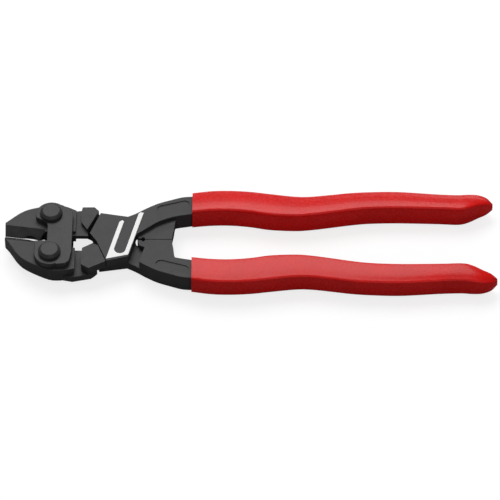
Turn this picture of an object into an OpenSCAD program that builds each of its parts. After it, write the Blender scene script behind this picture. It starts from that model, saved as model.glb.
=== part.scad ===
// Compact high-leverage bolt cutters, 200 mm class, lying flat with the jaws closed.
// The head points to -X, the handles to +X, and the two halves are half-turn copies about X.

/* [Overall] */
// Length from the jaw tips to the handle ends
tool_len = 200; // [180:5:260]
// Thickness of the hub and of the bare handle steel
handle_t = 8; // [6.5:0.1:10]
// Thickness of the jaws
jaw_t = 6.4; // [5:0.1:7.8]

/* [Linkage] */
// Distance from the jaw tips back to the jaw rivets
jaw_reach = 18.7; // [17:0.1:22]
// Sideways distance of a jaw rivet from the middle line
rivet_y = 10.2; // [9.6:0.1:11]
// Lengthwise distance from a jaw rivet to its link pin
link_x = 15.4; // [15:0.1:18]
// Sideways distance of a link pin from the middle line
link_y = 12.6; // [12.2:0.1:12.9]
// Lengthwise distance from the link pins to the centre pin
lever_x = 9.4; // [9.2:0.1:9.8]

/* [Straps and rivets] */
// Thickness of each strap plate
strap_t = 2.6; // [2:0.1:3.2]
// Radius of the front strap round each rivet
strap_r = 6.3; // [5.8:0.1:7]
// Radius of the rear strap round each rivet
rear_strap_r = 4.9; // [4.4:0.1:6]
// Length of the straps behind the rivets
strap_tail = 8.9; // [8:0.1:9.6]
// Diameter of the rivet shanks
rivet_d = 6; // [4.8:0.1:7.2]
// Diameter of the rivet heads at the front
rivet_head_d = 9.1; // [8.6:0.1:11]
// Height of the rivet heads at the front
rivet_head_t = 2.4; // [1.8:0.1:3]
// Diameter of the peened rear ends of the rivets
rear_end_d = 8; // [7.4:0.1:9]
// Height of the peened rear ends of the rivets
rear_end_t = 1.2; // [0.9:0.1:2]

/* [Pins] */
// Diameter of the centre pin
centre_pin_d = 7; // [5.5:0.1:8.4]
// Diameter of the link pins
link_pin_d = 3; // [2.4:0.1:3.6]
// Steel left over the blind end of each pin
pin_cover = 1; // [0.7:0.1:1.4]

/* [Cutting edges] */
// Angle that the line where the edges meet leans from the middle line
edge_turn = 8; // [0:1:9]
// Width of the bevel that runs down to the cutting edge
bevel_w = 3.7; // [2.8:0.1:4.2]
// Length of the wire recess in the edges
recess_len = 6.4; // [5:0.1:7.5]
// Depth of the wire recess in each edge
recess_depth = 1.2; // [0.8:0.1:1.5]

/* [Grips] */
// Distance from the centre pin to the front of the grips
grip_start = 32.8; // [32:0.1:36]
// Thickness of the dipped coat on the sides of the handle
coat_side = 1.6; // [1.3:0.05:1.9]
// Thickness of the coat over the handle at its inner side
coat_inner = 1.3; // [1:0.1:2]
// Thickness of the coat over the handle at its outer side
coat_outer = 0.5; // [0.4:0.1:1]
// Corner radius of the grips
grip_corner = 1.6; // [1:0.1:2]

/* [Clearances] */
// Gap between the two layers of the lap joint
lap_gap = 0.3; // [0.2:0.05:0.4]
// Radial clearance of a running pin
pin_fit = 0.05; // [0.03:0.01:0.08]
// Radial clearance of the upper link pin in its handle
float_fit = 0.3; // [0.25:0.05:0.4]
// Gap left between the closed cutting edges
meet_gap = 0.1; // [0.06:0.02:0.2]
// Gap left between the two stops when the tool is closed
stop_gap = 0.3; // [0.2:0.05:0.6]

/* [Hidden] */
$fn = 64;

black_steel = [0.24, 0.24, 0.25];
plate_steel = [0.30, 0.30, 0.31];
red_dip = [0.80, 0.09, 0.09];
white_enamel = [0.95, 0.95, 0.94];

// Places along the tool
tip_x = -tool_len / 2;
end_x = tool_len / 2;
rivet_x = tip_x + jaw_reach;
pin_x = rivet_x + link_x;
centre_x = pin_x + lever_x;
grip_x = centre_x + grip_start;
grip_len = end_x - grip_x;

// Heights: the middle plane of the steel, measured from the flats of the rear rivet ends
mid_z = jaw_t / 2 + strap_t + rear_end_t;
half_t = handle_t / 2;
jaw_half = jaw_t / 2;
strap_z = jaw_half + strap_t;
pin_half = half_t - pin_cover;
cut = 1;

// Arm of a jaw, which lies over the handle's ear
neck_t = 2;
arm_t = half_t - 0.1;
jaw_rear = 10.1;

// Height of the edge in a jaw drawn with its edge along X, before the jaw leans
edge_y = rivet_y - rivet_y * cos(edge_turn) + meet_gap / 2;

// Webs and stops between the handles
web_half = 2.2;
stop_front = 13.8;
stop_rear = 24.5;

// Label field on the hub, let in and standing proud
field_depth = 0.25;
field_proud = 0.3;

// A curve through the points p, with n steps from each point to the next
function between(a, b, c, d, t) = 0.5 * (2 * b + (c - a) * t + (2 * a - 5 * b + 4 * c - d) * t * t
    + (3 * b - a - 3 * c + d) * t * t * t);
function smooth(p, n) = concat([for (i = [0 : len(p) - 2], j = [0 : n - 1])
    between(p[max(i - 1, 0)], p[i], p[i + 1], p[min(i + 2, len(p) - 1)], j / n)], [p[len(p) - 1]]);
function backwards(p) = [for (i = [len(p) - 1 : -1 : 0]) p[i]];

// Handle sides behind the hub, measured from the centre pin
outer_side = [for (p = smooth([[6.5, 10.5], [9.2, 11.9], [11.6, 13.4], [14.1, 15.1], [18.9, 17.8],
    [23.8, 19.6], [28.7, 21.2], [grip_start, 21.6]], 4)) p];
inner_side = smooth([[10.1, 1.2], [14.3, 4.4], [18.4, 7.6], [22.5, 9.7], [26.6, 11.1],
    [grip_start, 12.3]], 4);
rib_front = [[14, 4.2], [11.6, 13.4]];

// Grip rows: share of the grip's length, outer side, inner side, share of the full height
grip_rows = smooth([
    [0.000, 23.15, 11.8, 1.00], [0.066, 24.35, 12.7, 1.00], [0.130, 24.55, 12.8, 1.00],
    [0.195, 24.05, 12.0, 1.00], [0.259, 22.95, 10.6, 1.00], [0.340, 21.65, 10.1, 1.00],
    [0.392, 21.65, 10.6, 1.00], [0.458, 22.65, 11.9, 1.00], [0.523, 23.75, 13.3, 1.00],
    [0.589, 24.35, 14.3, 1.00], [0.686, 24.55, 14.7, 1.00], [0.820, 23.35, 14.4, 1.00],
    [0.885, 23.05, 14.1, 1.00], [0.918, 23.45, 15.0, 0.97], [0.951, 23.65, 16.9, 0.86],
    [0.980, 22.85, 18.1, 0.66], [1.000, 21.15, 19.1, 0.30]], 2);
shank_rows = [for (r = grip_rows) if (r[0] < 0.92) r];

// The lower half is the upper half turned half a turn about the middle line
module upper_half() {
    translate([0, 0, mid_z]) children();
}

module lower_half() {
    translate([0, 0, mid_z]) rotate([180, 0, 0]) children();
}

module layer(low, high) {
    translate([0, 0, low]) linear_extrude(high - low) children();
}

module pin(radius, x, y, low, high) {
    translate([x, y, low]) cylinder(r = radius, h = high - low);
}

// Jaws: each is drawn with its edge along X, then leans about its rivet

module jaw_outline() {
    outer = smooth([[-20.3, 3], [-17.7, 5.4], [-12.8, 11.2], [-8, 14.3], [0.7, 17.3], [5.6, 17]], 4);
    translate([rivet_x, 0])
        polygon(concat(outer, [[8.8, 15.9], [jaw_rear + 1, 14.9], [jaw_rear + 1, 4.6], [-2, 2.6],
            [-3.2, edge_y], [-20.4, edge_y]]));
}

// The bevel runs from ahead of the tip back to the root of the edge
module edge_bevel() {
    rise = 1.12;
    root = 1.5;
    translate([tip_x - 3, edge_y, 0]) rotate([90, 0, 90])
        linear_extrude(jaw_reach + 3 - root)
            polygon([[0, 0], [rise * bevel_w, rise * jaw_half], [-cut, rise * jaw_half],
                [-cut, 0]]);
}

module wire_recess() {
    radius = (pow(recess_len / 2, 2) + pow(recess_depth, 2)) / (2 * recess_depth);
    pin(radius, rivet_x - 7.2, edge_y + recess_depth - radius, -half_t, half_t);
}

// Cut off square at the tip and at the rear
module jaw_body(lean) {
    difference() {
        translate([rivet_x, rivet_y, 0]) rotate([0, 0, lean]) translate([-rivet_x, -rivet_y, 0])
            difference() {
                layer(-jaw_half, jaw_half) jaw_outline();
                edge_bevel();
                mirror([0, 0, 1]) edge_bevel();
                wire_recess();
            }
        for (x = [tip_x - jaw_reach, rivet_x + jaw_rear])
            translate([x, -jaw_reach, -half_t]) cube([jaw_reach, 3 * jaw_reach, handle_t]);
    }
}

// Arm that ends in a lug over the handle's ear
module arm_outline() {
    translate([pin_x, link_y])
        polygon([[-3.4, -0.3], [-2.8, 2.9], [2.1, 3], [3.9, 1], [-0.6, -9], [-3.1, -5]]);
}

// Plate from the jaw to the arm; its inner side leans with the jaw
module neck_outline(lean) {
    front = rivet_x + jaw_rear - 1.5;
    inner = 3 + 0.16 * lean;
    polygon([[front, inner], [front, link_y + 2.2], [pin_x - 2.4, link_y + 2.6],
        [pin_x - 0.7, link_y - 8], [pin_x - 0.2, inner]]);
}

// Swell over the lower jaw's link pin
module swell_outline() {
    translate([pin_x, link_y])
        polygon([[-10.6, 3.8], [-10.1, 5], [-6.1, 5.8], [-1.1, 4.7], [1.5, 4.1], [3.5, 0.9],
            [-0.9, -4], [-6.1, -4.6]]);
}

module jaw(lean) {
    difference() {
        union() {
            jaw_body(lean);
            layer(lap_gap / 2, neck_t) neck_outline(lean);
            layer(lap_gap / 2, arm_t) arm_outline();
            if (lean > 0) layer(lap_gap / 2, jaw_half) swell_outline();
        }
        pin(rivet_d / 2 + pin_fit, rivet_x, rivet_y, -half_t, half_t);
        pin(link_pin_d / 2, pin_x, link_y, -cut, pin_half);
    }
}

module upper_jaw() {
    color(black_steel) upper_half() jaw(-edge_turn);
}

module lower_jaw() {
    color(black_steel) lower_half() jaw(edge_turn);
}

// Straps and rivets

// Plate between the two round lobes, with a square corner at the front of the lower lobe
module strap_body_outline(lobe) {
    tail = strap_tail;
    side = 0.1 - lobe;
    translate([rivet_x, 0])
        polygon([[-3, rivet_y], [0.8, rivet_y + lobe - 0.1], [4.8, rivet_y + lobe - 1.6],
            [tail - 0.3, rivet_y + 1.5], [tail, rivet_y + 0.4], [tail, 0.6 - rivet_y],
            [tail - 0.8, 2.2 - rivet_y - lobe], [tail - 2.2, 0.6 - rivet_y - lobe],
            [3, 0.1 - rivet_y - lobe], [side, 0.9 - rivet_y], [side, -3], [-3, -3]]);
}

module strap_notch_outline() {
    translate([rivet_x, 0])
        polygon([[-9, 9], [-5.4, 8], [-1.6, 5.6], [-1.3, 3.6], [-1.3, -3.8], [-9, -4.2]]);
}

module strap(lobe) {
    difference() {
        union() {
            for (side = [-1, 1]) pin(lobe, rivet_x, side * rivet_y, jaw_half, strap_z);
            layer(jaw_half, strap_z) strap_body_outline(lobe);
        }
        layer(jaw_half - cut, strap_z + cut) strap_notch_outline();
        for (side = [-1, 1])
            pin(rivet_d / 2, rivet_x, side * rivet_y, jaw_half - cut, strap_z + cut);
    }
}

module front_strap() {
    color(plate_steel) upper_half() strap(strap_r);
}

module rear_strap() {
    color(plate_steel) upper_half() mirror([0, 0, 1]) strap(rear_strap_r);
}

// End of a rivet: straight rim, then a chamfer down to a flat
module rivet_end(diameter, height) {
    rim = 0.55 * height;
    translate([0, 0, strap_z]) cylinder(d = diameter, h = rim);
    translate([0, 0, strap_z + rim])
        cylinder(d1 = diameter, d2 = diameter - 2.1, h = height - rim);
}

module rivet(side) {
    translate([rivet_x, side * rivet_y, 0]) {
        cylinder(d = rivet_d, h = 2 * strap_z, center = true);
        rivet_end(rivet_head_d, rivet_head_t);
        mirror([0, 0, 1]) rivet_end(rear_end_d, rear_end_t);
    }
}

module upper_rivet() {
    color(black_steel) upper_half() rivet(1);
}

module lower_rivet() {
    color(black_steel) upper_half() rivet(-1);
}

// Handles

// Front layer of a hub, from the jaw's arm back to the handle
module hub_outline() {
    translate([centre_x, 0])
        polygon(concat([[-4.7, 12.4], [-8.8, 1.7], [-5.9, -2.6], [-1.7, -12.95], [7.1, -10.5]],
            inner_side, backwards(outer_side)));
}

// Ear of a handle under its jaw's arm, shaped to clear the other hub through the opening
module ear_outline() {
    translate([centre_x, 0])
        polygon([[-11.8, 6.3], [-7.6, 3.75], [-5.4, 4.85], [-2.05, 13.1], [-8.8, 16.9],
            [-11.9, 14.9]]);
}

module rib_outline() {
    translate([centre_x, 0])
        polygon(concat([rib_front[1], rib_front[0]],
            [for (p = inner_side) if (p[0] > rib_front[0][0]) p],
            backwards([for (p = outer_side) if (p[0] > rib_front[1][0]) p])));
}

// Thin web that ends in the stop on the middle line
module web_outline() {
    stop_y = stop_gap / 2;
    translate([centre_x, 0])
        polygon(concat([[13.4, 4.1], [11.4, 3.2], [10.9, 1.6], [10.6, 0.5], [12.2, 0.5],
            [12.6, 1.1], [13.3, 1.1], [stop_front, stop_y], [stop_rear, stop_y], [25.3, 5], [25.7, 8.5], [26.6, 11.6]],
            backwards([for (p = inner_side) if (p[0] > 14 && p[0] < 26.5) p])));
}

module shank_outline(front) {
    polygon(concat([[grip_x - front, shank_rows[0][2] + coat_side]],
        [for (r = shank_rows) [grip_x + r[0] * grip_len, r[2] + coat_side]],
        backwards([for (r = shank_rows) [grip_x + r[0] * grip_len, r[1] - coat_side]]),
        [[grip_x - front, shank_rows[0][1] - coat_side]]));
}

// Long sunk panel with round ends
module sunk_panel() {
    panel_len = 14;
    panel_w = 4.4;
    translate([centre_x + 25, 15.9, half_t - 0.35]) rotate([0, 0, 16.5])
        linear_extrude(cut) {
            square([panel_len - panel_w, panel_w], center = true);
            for (side = [-1, 1]) translate([side * (panel_len - panel_w) / 2, 0])
                circle(d = panel_w);
        }
}

module handle(centre_fit, link_fit) {
    difference() {
        union() {
            layer(lap_gap / 2, half_t) hub_outline();
            layer(-half_t, -lap_gap / 2) ear_outline();
            layer(-half_t, half_t) intersection() {
                hub_outline();
                ear_outline();
            }
            layer(-half_t, half_t) rib_outline();
            layer(-web_half, web_half) web_outline();
            layer(-half_t, half_t) shank_outline(cut);
        }
        pin(centre_pin_d / 2 + centre_fit, centre_x, 0, -cut, pin_half);
        pin(link_pin_d / 2 + link_fit, pin_x, link_y, -pin_half, cut);
        sunk_panel();
        mirror([0, 0, 1]) sunk_panel();
    }
}

// U-shaped field with its open slot towards the upper edge
module field_outline() {
    slot_w = 4.7;
    translate([centre_x, 0]) difference() {
        polygon([[-1.9, -12.1], [7, -9.8], [12.9, 12.5], [11.7, 12.7], [10.9, 12.1],
            [6.3, 6.6], [4.2, 8.4], [3.1, 7.6]]);
        translate([3.6, -6.9]) rotate([0, 0, -14.4]) {
            circle(d = slot_w);
            translate([-slot_w / 2, 0]) square([slot_w, 24]);
        }
    }
}

module upper_handle() {
    color(black_steel) upper_half() difference() {
        handle(pin_fit, float_fit);
        layer(half_t - field_depth, half_t + cut) field_outline();
    }
}

module lower_handle() {
    color(black_steel) lower_half() handle(0, pin_fit);
}

module label_field() {
    color(white_enamel) upper_half() layer(half_t - field_depth, half_t + field_proud)
        field_outline();
}

// Hidden pins

module centre_pin() {
    color(plate_steel) upper_half()
        pin(centre_pin_d / 2, centre_x, 0, -pin_half, pin_half - pin_fit);
}

module link_pin() {
    pin(link_pin_d / 2, pin_x, link_y, -pin_half + pin_fit, pin_half);
}

module upper_link_pin() {
    color(plate_steel) upper_half() link_pin();
}

module lower_link_pin() {
    color(plate_steel) lower_half() link_pin();
}

// Grips: a four-cornered section with round corners, swept along the rows

function corner(y, z, radius, first) = [for (a = [first : 30 : first + 90])
    [y + radius * cos(a), z + radius * sin(a)]];
function grip_ring(r) = let (
    high_out = (half_t + coat_outer) * r[3],
    high_in = (half_t + coat_inner) * r[3],
    c = min(grip_corner, (r[1] - r[2]) / 2.1, high_out / 1.05),
    out_y = r[1] - c,
    in_y = r[2] + c,
    section = concat(corner(out_y, high_out - c, c, 0), corner(in_y, high_in - c, c, 90),
        corner(in_y, c - high_in, c, 180), corner(out_y, c - high_out, c, 270)))
    [for (p = section) [grip_x + r[0] * grip_len, p[0], p[1]]];

module grip_body() {
    rings = [for (r = grip_rows) grip_ring(r)];
    sides = len(rings[0]);
    last = len(rings) - 1;
    polyhedron(
        points = [for (ring = rings, p = ring) p],
        faces = concat(
            [[for (i = [0 : sides - 1]) i]],
            [for (k = [0 : last - 1], i = [0 : sides - 1]) let (j = (i + 1) % sides)
                [k * sides + i, (k + 1) * sides + i, (k + 1) * sides + j, k * sides + j]],
            [[for (i = [sides - 1 : -1 : 0]) last * sides + i]]));
}

module grip() {
    difference() {
        grip_body();
        layer(-half_t, half_t) shank_outline(cut);
    }
}

module upper_grip() {
    color(red_dip) upper_half() grip();
}

module lower_grip() {
    color(red_dip) lower_half() grip();
}

upper_jaw();
lower_jaw();
front_strap();
rear_strap();
upper_rivet();
lower_rivet();
upper_handle();
lower_handle();
centre_pin();
upper_link_pin();
lower_link_pin();
label_field();
upper_grip();
lower_grip();
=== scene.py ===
"""Looks of the compact bolt cutters: forged steel head, riveted straps and dipped grips.

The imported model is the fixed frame. Every piece here is in metres in that frame, rides on one of
its bodies and stands for one of its nodes.
"""

import math

import bmesh
import bpy
import numpy as np
from mathutils import Matrix, Vector


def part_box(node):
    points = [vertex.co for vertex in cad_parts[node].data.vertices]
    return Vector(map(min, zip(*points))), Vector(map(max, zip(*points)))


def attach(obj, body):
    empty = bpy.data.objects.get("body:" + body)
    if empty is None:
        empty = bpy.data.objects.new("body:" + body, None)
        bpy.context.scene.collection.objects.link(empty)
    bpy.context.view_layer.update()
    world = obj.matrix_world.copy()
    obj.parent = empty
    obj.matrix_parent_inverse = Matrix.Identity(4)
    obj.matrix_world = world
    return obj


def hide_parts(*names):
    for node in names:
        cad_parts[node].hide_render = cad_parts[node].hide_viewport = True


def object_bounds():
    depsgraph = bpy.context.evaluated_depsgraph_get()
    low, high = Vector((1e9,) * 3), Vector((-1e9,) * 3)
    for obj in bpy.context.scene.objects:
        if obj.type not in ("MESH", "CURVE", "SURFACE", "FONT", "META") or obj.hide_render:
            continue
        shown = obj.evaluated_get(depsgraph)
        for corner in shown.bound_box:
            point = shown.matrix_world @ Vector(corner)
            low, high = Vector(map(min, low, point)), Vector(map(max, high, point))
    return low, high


bl_info = {
    "name": "Compact bolt cutters",
    "version": (1, 0, 0),
    "blender": (4, 5, 0),
    "location": "View3D > Sidebar > Cutters",
    "description": "Builds the visible pieces of a pair of compact bolt cutters",
    "category": "Add Mesh",
}

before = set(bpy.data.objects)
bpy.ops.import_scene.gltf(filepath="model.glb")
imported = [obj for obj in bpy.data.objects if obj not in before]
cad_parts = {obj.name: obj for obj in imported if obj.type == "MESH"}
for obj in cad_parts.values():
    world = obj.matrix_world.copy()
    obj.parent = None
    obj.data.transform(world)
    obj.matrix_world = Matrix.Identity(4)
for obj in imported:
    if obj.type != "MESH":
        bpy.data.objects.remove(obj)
CAD_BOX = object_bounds()
MM = 0.001
MID_Z = (CAD_BOX[0].z + CAD_BOX[1].z) / 2
GRIP_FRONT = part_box("upper_grip")[0].x
GRIP_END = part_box("upper_grip")[1].x
# Edges that turn by more than this are corners of the steel
CORNER = math.radians(28)
RIVET = sum(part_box("upper_rivet"), Vector()) / 2


# Settings


class SteelSettings(bpy.types.PropertyGroup):
    """Finish of the forged steel."""

    colour: bpy.props.FloatVectorProperty(
        name="Steel colour", description="Colour of the blackened steel",
        default=(0.036, 0.036, 0.038), subtype="COLOR", min=0, max=1)
    roughness: bpy.props.FloatProperty(
        name="Roughness", description="Roughness of the blackened steel",
        default=0.45, min=0.05, max=1)
    edge: bpy.props.FloatProperty(
        name="Edge rounding", description="Width of the rounded edges of the forgings",
        default=0.35 * MM, unit="LENGTH")
    plate_edge: bpy.props.FloatProperty(
        name="Plate edge", description="Width of the rounded edges of the straps",
        default=0.3 * MM, unit="LENGTH")


class GripSettings(bpy.types.PropertyGroup):
    """Shape and colour of the dipped grips."""

    colour: bpy.props.FloatVectorProperty(
        name="Grip colour", description="Colour of the dipped coat",
        default=(0.72, 0.005, 0.004), subtype="COLOR", min=0, max=1)
    roughness: bpy.props.FloatProperty(
        name="Roughness", description="Roughness of the dipped coat", default=0.26, min=0.02, max=1)
    ridge: bpy.props.FloatProperty(
        name="Ridge radius", description="Corner radius between the broad and the narrow faces",
        default=1.1 * MM, unit="LENGTH")
    crown: bpy.props.FloatProperty(
        name="Crown", description="Height of the swell of each face", default=0.25 * MM, unit="LENGTH")


class StageSettings(bpy.types.PropertyGroup):
    """Camera, floor and lamps."""

    elevation: bpy.props.FloatProperty(
        name="Elevation", description="Height of the camera above the floor",
        default=math.radians(50), subtype="ANGLE")
    distance: bpy.props.FloatProperty(
        name="Distance", description="Distance from the camera to the tool",
        default=1.285, unit="LENGTH")
    lens: bpy.props.FloatProperty(
        name="Lens", description="Focal length in millimetres", default=227.0, min=1)
    backdrop: bpy.props.FloatVectorProperty(
        name="Floor colour", description="Colour of the floor", default=(0.3, 0.3, 0.3),
        subtype="COLOR", min=0, max=1)


# Materials


def new_material(name):
    material = bpy.data.materials.new(name)
    material.use_nodes = True
    nodes = material.node_tree.nodes
    nodes.clear()
    shader = nodes.new("ShaderNodeBsdfPrincipled")
    output = nodes.new("ShaderNodeOutputMaterial")
    material.node_tree.links.new(shader.outputs[0], output.inputs[0])
    return material, nodes, material.node_tree.links, shader


def noise(nodes, links, scale, detail, rough, coordinate):
    node = nodes.new("ShaderNodeTexNoise")
    node.inputs["Scale"].default_value = scale
    node.inputs["Detail"].default_value = detail
    node.inputs["Roughness"].default_value = rough
    links.new(coordinate, node.inputs["Vector"])
    return node.outputs["Fac"]


def spread(nodes, links, value, low, high, start=0.3, end=0.7):
    node = nodes.new("ShaderNodeMapRange")
    node.inputs["From Min"].default_value = start
    node.inputs["From Max"].default_value = end
    node.inputs["To Min"].default_value = low
    node.inputs["To Max"].default_value = high
    links.new(value, node.inputs["Value"])
    return node.outputs["Result"]


def tint(nodes, links, value, dark, light):
    ramp = nodes.new("ShaderNodeValToRGB")
    ramp.color_ramp.elements[0].position = 0.3
    ramp.color_ramp.elements[1].position = 0.7
    ramp.color_ramp.elements[0].color = (*dark, 1)
    ramp.color_ramp.elements[1].color = (*light, 1)
    links.new(value, ramp.inputs["Fac"])
    return ramp.outputs["Color"]


def bump(nodes, links, height, strength, distance):
    node = nodes.new("ShaderNodeBump")
    node.inputs["Strength"].default_value = strength
    node.inputs["Distance"].default_value = distance
    links.new(height, node.inputs["Height"])
    return node.outputs["Normal"]


def steel_material(name, colour, roughness, grain):
    """Blackened steel: a scale-like mottle in colour and roughness over a fine pitted surface."""
    material, nodes, links, shader = new_material(name)
    place = nodes.new("ShaderNodeTexCoord").outputs["Object"]
    mottle = noise(nodes, links, 260, 4, 0.6, place)
    fine = noise(nodes, links, grain, 3, 0.55, place)
    light = tuple(min(1, c * 1.25) for c in colour)
    dark = tuple(c * 0.8 for c in colour)
    links.new(tint(nodes, links, mottle, dark, light), shader.inputs["Base Color"])
    links.new(spread(nodes, links, mottle, roughness - 0.05, roughness + 0.08),
              shader.inputs["Roughness"])
    links.new(bump(nodes, links, fine, 0.25, 0.00006), shader.inputs["Normal"])
    shader.inputs["Specular IOR Level"].default_value = 0.25
    return material


def dip_material(name, colour, roughness):
    """Dipped vinyl: a thin clear skin over the colour, with the faint waves of a poured coat."""
    material, nodes, links, shader = new_material(name)
    place = nodes.new("ShaderNodeTexCoord").outputs["Object"]
    wave = noise(nodes, links, 90, 2, 0.5, place)
    light = tuple(min(1, c * 1.06) for c in colour)
    dark = tuple(c * 0.95 for c in colour)
    links.new(tint(nodes, links, wave, dark, light), shader.inputs["Base Color"])
    links.new(spread(nodes, links, noise(nodes, links, 700, 3, 0.6, place), roughness - 0.03,
                     roughness + 0.05), shader.inputs["Roughness"])
    links.new(bump(nodes, links, wave, 0.12, 0.0002), shader.inputs["Normal"])
    shader.inputs["Specular IOR Level"].default_value = 0.2
    shader.inputs["Coat Weight"].default_value = 0.08
    shader.inputs["Coat Roughness"].default_value = 0.08
    return material


def enamel_material(name):
    """White enamel: nearly even, with a slight unevenness of gloss."""
    material, nodes, links, shader = new_material(name)
    place = nodes.new("ShaderNodeTexCoord").outputs["Object"]
    grain = noise(nodes, links, 900, 3, 0.5, place)
    links.new(tint(nodes, links, grain, (0.9, 0.9, 0.89), (0.96, 0.96, 0.955)),
              shader.inputs["Base Color"])
    links.new(spread(nodes, links, grain, 0.35, 0.5), shader.inputs["Roughness"])
    return material


# Mesh helpers


def add_piece(name, mesh, body, slot, material, *nodes):
    """Puts a finished mesh in the scene as a piece that stands for the CAD nodes."""
    piece = bpy.data.objects.new(name, mesh)
    bpy.context.scene.collection.objects.link(piece)
    mesh.materials.clear()
    mesh.materials.append(material)
    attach(piece, body)
    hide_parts(*nodes)
    return piece


def round_edges(piece, width):
    modifier = piece.modifiers.new("Rounded edges", "BEVEL")
    modifier.width = width
    modifier.segments = 3
    modifier.limit_method = "ANGLE"
    modifier.angle_limit = CORNER
    modifier.use_clamp_overlap = True
    modifier.harden_normals = True


def finished_copy(node):
    """A copy of a CAD node's mesh with its corners merged and its flat faces whole."""
    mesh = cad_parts[node].data.copy()
    mesh.name = node + "_surface"
    shape = bmesh.new()
    shape.from_mesh(mesh)
    bmesh.ops.remove_doubles(shape, verts=shape.verts, dist=2e-6)
    bmesh.ops.dissolve_limit(shape, angle_limit=math.radians(1), verts=shape.verts, edges=shape.edges)
    shape.to_mesh(mesh)
    shape.free()
    for attribute in [a for a in mesh.attributes if a.name == "custom_normal"]:
        mesh.attributes.remove(attribute)
    mesh.set_sharp_from_angle(angle=CORNER)
    return mesh


def grid_mesh(name, points):
    """A closed tube from an array (rings, sides, 3), with both ends capped."""
    rings, sides = points.shape[:2]
    ring = np.arange(rings - 1)[:, None] * sides
    side = np.arange(sides)[None, :]
    after = (side + 1) % sides
    quads = np.stack([ring + side, ring + after, ring + sides + after, ring + sides + side], -1)
    faces = quads.reshape(-1, 4).tolist()
    faces.append(np.arange(sides)[::-1].tolist())
    faces.append(((rings - 1) * sides + np.arange(sides)).tolist())
    mesh = bpy.data.meshes.new(name)
    mesh.from_pydata(points.reshape(-1, 3).tolist(), [], faces)
    shape = bmesh.new()
    shape.from_mesh(mesh)
    bmesh.ops.recalc_face_normals(shape, faces=shape.faces)
    shape.to_mesh(mesh)
    shape.free()
    mesh.shade_smooth()
    mesh.set_sharp_from_angle(angle=math.radians(50))
    return mesh


# Steel pieces

# Each forging is the main node of the body with the same name
FORGINGS = ("upper_jaw", "lower_jaw", "upper_handle", "lower_handle")
# Nodes of the straps' body and their material slots
PLATES = {
    "front_strap": "strap_steel",
    "rear_strap": "strap_steel",
    "upper_rivet": "rivet_steel",
    "lower_rivet": "rivet_steel",
}


class CUTTERS_OT_forgings(bpy.types.Operator):
    """Finish the two jaws and the two handle forgings"""

    bl_idname = "cutters.forgings"
    bl_label = "Jaws and handles"

    def execute(self, context):
        steel = context.scene.cutter_steel
        material = steel_material("forged_black", steel.colour, steel.roughness, 2600)
        for node in FORGINGS:
            piece = add_piece(node + "_forging", finished_copy(node), node, "forged_steel",
                              material, node)
            round_edges(piece, steel.edge)
        return {"FINISHED"}


class CUTTERS_OT_plates(bpy.types.Operator):
    """Finish the two straps and the two rivets"""

    bl_idname = "cutters.plates"
    bl_label = "Straps and rivets"

    def execute(self, context):
        steel = context.scene.cutter_steel
        material = steel_material("plate_black", steel.colour, steel.roughness - 0.04, 1800)
        for node, slot in PLATES.items():
            piece = add_piece(node + "_plate", finished_copy(node), "straps", slot, material,
                              node)
            round_edges(piece, steel.plate_edge)
        return {"FINISHED"}


class CUTTERS_OT_small_parts(bpy.types.Operator):
    """Finish the hidden pins and the white field on the hub"""

    bl_idname = "cutters.small_parts"
    bl_label = "Pins and label field"

    def execute(self, context):
        pin = steel_material("pin_steel", (0.45, 0.45, 0.46), 0.3, 2000)
        enamel = enamel_material("white_enamel")
        for node in ("centre_pin", "upper_link_pin", "lower_link_pin"):
            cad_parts[node].data.materials.clear()
            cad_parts[node].data.materials.append(pin)
        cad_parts["label_field"].data.materials.clear()
        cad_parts["label_field"].data.materials.append(enamel)
        return {"FINISHED"}


# Grips

# Share of the grip's length, outer side, inner side in millimetres, share of the full height
GRIP_ROWS = np.array([
    (0.000, 23.15, 11.8, 1.00), (0.066, 24.35, 12.7, 1.00), (0.130, 24.55, 12.8, 1.00),
    (0.195, 24.05, 12.0, 1.00), (0.259, 22.95, 10.6, 1.00), (0.340, 21.65, 10.1, 1.00),
    (0.392, 21.65, 10.6, 1.00), (0.458, 22.65, 11.9, 1.00), (0.523, 23.75, 13.3, 1.00),
    (0.589, 24.35, 14.3, 1.00), (0.686, 24.55, 14.7, 1.00), (0.820, 23.35, 14.4, 1.00),
    (0.885, 23.05, 14.1, 1.00), (0.918, 23.45, 15.0, 0.97), (0.951, 23.65, 16.9, 0.86),
    (0.980, 22.85, 18.1, 0.66), (1.000, 21.15, 19.1, 0.30)])
GRIP_HIGH_INNER = 5.3
GRIP_HIGH_OUTER = 4.5
STEPS_PER_ROW = 12
STEPS_PER_CORNER = 7
STEPS_PER_SIDE = 6


def smooth_rows(rows, steps):
    """Catmull-Rom curve through the rows: each span blends its four nearest rows by cubics of t."""
    padded = np.vstack([rows[:1], rows, rows[-1:]])
    a, b, c, d = (padded[i:len(rows) - 1 + i, None, :] for i in range(4))
    t = (np.arange(steps) / steps)[None, :, None]
    curve = 0.5 * (2 * b + (c - a) * t + (2 * a - 5 * b + 4 * c - d) * t ** 2
                   + (3 * b - a - 3 * c + d) * t ** 3)
    return np.vstack([curve.reshape(-1, rows.shape[1]), rows[-1:]])


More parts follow.
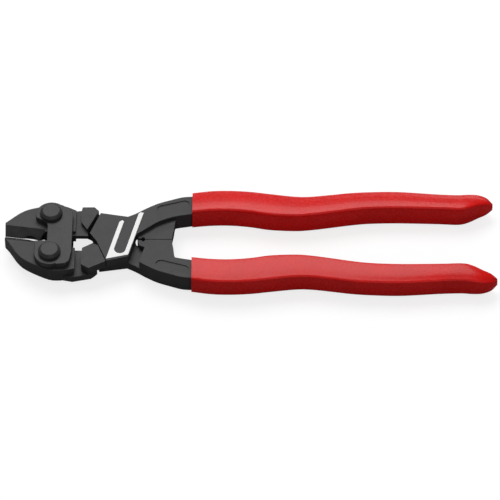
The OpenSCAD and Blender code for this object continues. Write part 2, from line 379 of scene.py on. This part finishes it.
def grip_points(ridge, crown):
    """Points (ring, side, 3) of the upper grip.

    Each ring is a four-sided section: four corner arcs of the ridge radius, joined by faces that
    swell by crown * (1 - s * s), where s runs from -1 to 1 across the face.
    """
    rows = smooth_rows(GRIP_ROWS, STEPS_PER_ROW)
    x = GRIP_FRONT + rows[:, 0] * (GRIP_END - GRIP_FRONT)
    outer, inner = rows[:, 1] * MM, rows[:, 2] * MM
    high_out = GRIP_HIGH_OUTER * MM * rows[:, 3]
    high_in = GRIP_HIGH_INNER * MM * rows[:, 3]
    radius = np.minimum.reduce([np.full(len(x), ridge), (outer - inner) / 2.1, high_out / 1.05])
    centres = [(outer - radius, high_out - radius), (inner + radius, high_in - radius),
               (inner + radius, radius - high_in), (outer - radius, radius - high_out)]
    arcs = []
    for quarter, (cy, cz) in enumerate(centres):
        angle = np.radians(90 * quarter + np.linspace(0, 90, STEPS_PER_CORNER))
        arcs.append(np.stack([cy[:, None] + radius[:, None] * np.cos(angle),
                              cz[:, None] + radius[:, None] * np.sin(angle)], -1))
    parts = []
    share = np.linspace(0, 1, STEPS_PER_SIDE + 2)[1:-1]
    swell = 1 - (2 * share - 1) ** 2
    for quarter in range(4):
        start = arcs[quarter][:, -1:, :]
        end = arcs[(quarter + 1) % 4][:, :1, :]
        line = start + (end - start) * share[None, :, None]
        outward = np.array([(0, 1), (-1, 0), (0, -1), (1, 0)][quarter], float)
        line = line + swell[None, :, None] * crown * outward
        parts += [arcs[quarter], line]
    section = np.concatenate(parts, axis=1)
    along = np.broadcast_to(x[:, None], section.shape[:2])
    return np.stack([along, section[..., 0], section[..., 1]], -1)


class CUTTERS_OT_grips(bpy.types.Operator):
    """Make the two dipped grips"""

    bl_idname = "cutters.grips"
    bl_label = "Grips"

    def execute(self, context):
        grip = context.scene.cutter_grip
        material = dip_material("red_dip", grip.colour, grip.roughness)
        points = grip_points(grip.ridge, grip.crown)
        for name, turn in (("upper", 1), ("lower", -1)):
            placed = points * np.array((1, turn, turn)) + np.array((0, 0, MID_Z))
            mesh = grid_mesh(name + "_grip_surface", placed)
            add_piece(name + "_grip_coat", mesh, name + "_handle", "red_dip", material,
                      name + "_grip")
        return {"FINISHED"}


# Stage

# The tool lies on its rear rivet ends and on the ends of its grips
FLOOR_TILT = math.radians(-0.6)
# Light that the floor adds for the camera alone, and the light of the world
FLOOR_GLOW = 0.78
WORLD_LIGHT = 0.2
# Name, place from the middle of the tool in metres, size in metres, power in watts
LAMPS = [
    ("key", (-0.15, 0.55, 0.95), (0.9, 0.6), 8.2),
    ("fill", (0.25, -0.75, 0.85), (0.9, 0.9), 1.7),
    ("strip", (0.0, 0.9, 0.35), (1.2, 0.15), 2.0),
]


def add_lamp(name, place, size, power, target, tilt):
    data = bpy.data.lights.new(name, "AREA")
    data.shape = "RECTANGLE"
    data.size, data.size_y = size
    data.energy = power
    lamp = bpy.data.objects.new(name, data)
    bpy.context.scene.collection.objects.link(lamp)
    lamp.location = target + tilt @ Vector(place)
    lamp.rotation_euler = (target - lamp.location).to_track_quat("-Z", "Y").to_euler()


def floor_material(colour):
    """Matt floor that glows for the camera, so that it looks white without lighting the tool."""
    material = bpy.data.materials.new("floor")
    material.use_nodes = True
    nodes, links = material.node_tree.nodes, material.node_tree.links
    nodes.clear()
    diffuse = nodes.new("ShaderNodeBsdfDiffuse")
    diffuse.inputs["Color"].default_value = (*colour, 1)
    glow = nodes.new("ShaderNodeEmission")
    rays = nodes.new("ShaderNodeLightPath")
    strength = nodes.new("ShaderNodeMath")
    strength.operation = "MULTIPLY"
    strength.inputs[1].default_value = FLOOR_GLOW
    links.new(rays.outputs["Is Camera Ray"], strength.inputs[0])
    links.new(strength.outputs[0], glow.inputs["Strength"])
    both = nodes.new("ShaderNodeAddShader")
    links.new(diffuse.outputs[0], both.inputs[0])
    links.new(glow.outputs[0], both.inputs[1])
    output = nodes.new("ShaderNodeOutputMaterial")
    links.new(both.outputs[0], output.inputs[0])
    return material


def set_world():
    world = bpy.data.worlds.new("studio")
    world.use_nodes = True
    background = world.node_tree.nodes["Background"]
    background.inputs["Color"].default_value = (1, 1, 1, 1)
    background.inputs["Strength"].default_value = WORLD_LIGHT
    bpy.context.scene.world = world


class CUTTERS_OT_stage(bpy.types.Operator):
    """Set up the floor, the lamps and the camera"""

    bl_idname = "cutters.stage"
    bl_label = "Stage"

    def execute(self, context):
        stage = context.scene.cutter_stage
        tilt = Matrix.Rotation(FLOOR_TILT, 4, "Y")
        touch = Vector((RIVET.x, 0, CAD_BOX[0].z))
        bpy.ops.mesh.primitive_plane_add(size=6)
        floor = context.active_object
        floor.name = "floor"
        floor.data.transform(Matrix.Translation(touch) @ tilt)
        floor.data.materials.append(floor_material(stage.backdrop))
        target = Vector((0, -0.004, MID_Z))
        for name, place, size, power in LAMPS:
            add_lamp(name, place, size, power, target, tilt)
        set_world()
        camera = bpy.data.objects.new("camera", bpy.data.cameras.new("camera"))
        context.scene.collection.objects.link(camera)
        camera.data.lens = stage.lens
        camera.data.sensor_width = 36
        camera.data.clip_end = 20
        back = Vector((0, -math.cos(stage.elevation), math.sin(stage.elevation)))
        turn = back.to_track_quat("Z", "Y").to_matrix().to_4x4()
        camera.matrix_world = Matrix.Translation(target) @ tilt @ Matrix.Translation(
            back * stage.distance) @ turn
        context.scene.camera = camera
        context.scene.view_settings.view_transform = "Standard"
        return {"FINISHED"}


# Panel and registration

OPERATORS = (CUTTERS_OT_forgings, CUTTERS_OT_plates, CUTTERS_OT_small_parts, CUTTERS_OT_grips,
             CUTTERS_OT_stage)


class CUTTERS_PT_panel(bpy.types.Panel):
    """Buttons for each group of pieces"""

    bl_label = "Bolt cutters"
    bl_idname = "CUTTERS_PT_panel"
    bl_space_type = "VIEW_3D"
    bl_region_type = "UI"
    bl_category = "Cutters"

    def draw(self, context):
        for operator in OPERATORS:
            self.layout.operator(operator.bl_idname)
        for group in ("cutter_steel", "cutter_grip", "cutter_stage"):
            settings = getattr(context.scene, group)
            for key in settings.__annotations__:
                self.layout.prop(settings, key)


CLASSES = (SteelSettings, GripSettings, StageSettings, *OPERATORS, CUTTERS_PT_panel)


def register():
    for cls in CLASSES:
        bpy.utils.register_class(cls)
    scene = bpy.types.Scene
    scene.cutter_steel = bpy.props.PointerProperty(type=SteelSettings)
    scene.cutter_grip = bpy.props.PointerProperty(type=GripSettings)
    scene.cutter_stage = bpy.props.PointerProperty(type=StageSettings)


def unregister():
    scene = bpy.types.Scene
    del scene.cutter_steel, scene.cutter_grip, scene.cutter_stage
    for cls in reversed(CLASSES):
        bpy.utils.unregister_class(cls)


def main():
    register()
    bpy.ops.cutters.forgings()
    bpy.ops.cutters.plates()
    bpy.ops.cutters.small_parts()
    bpy.ops.cutters.grips()
    bpy.ops.cutters.stage()


if __name__ == "__main__":
    main()
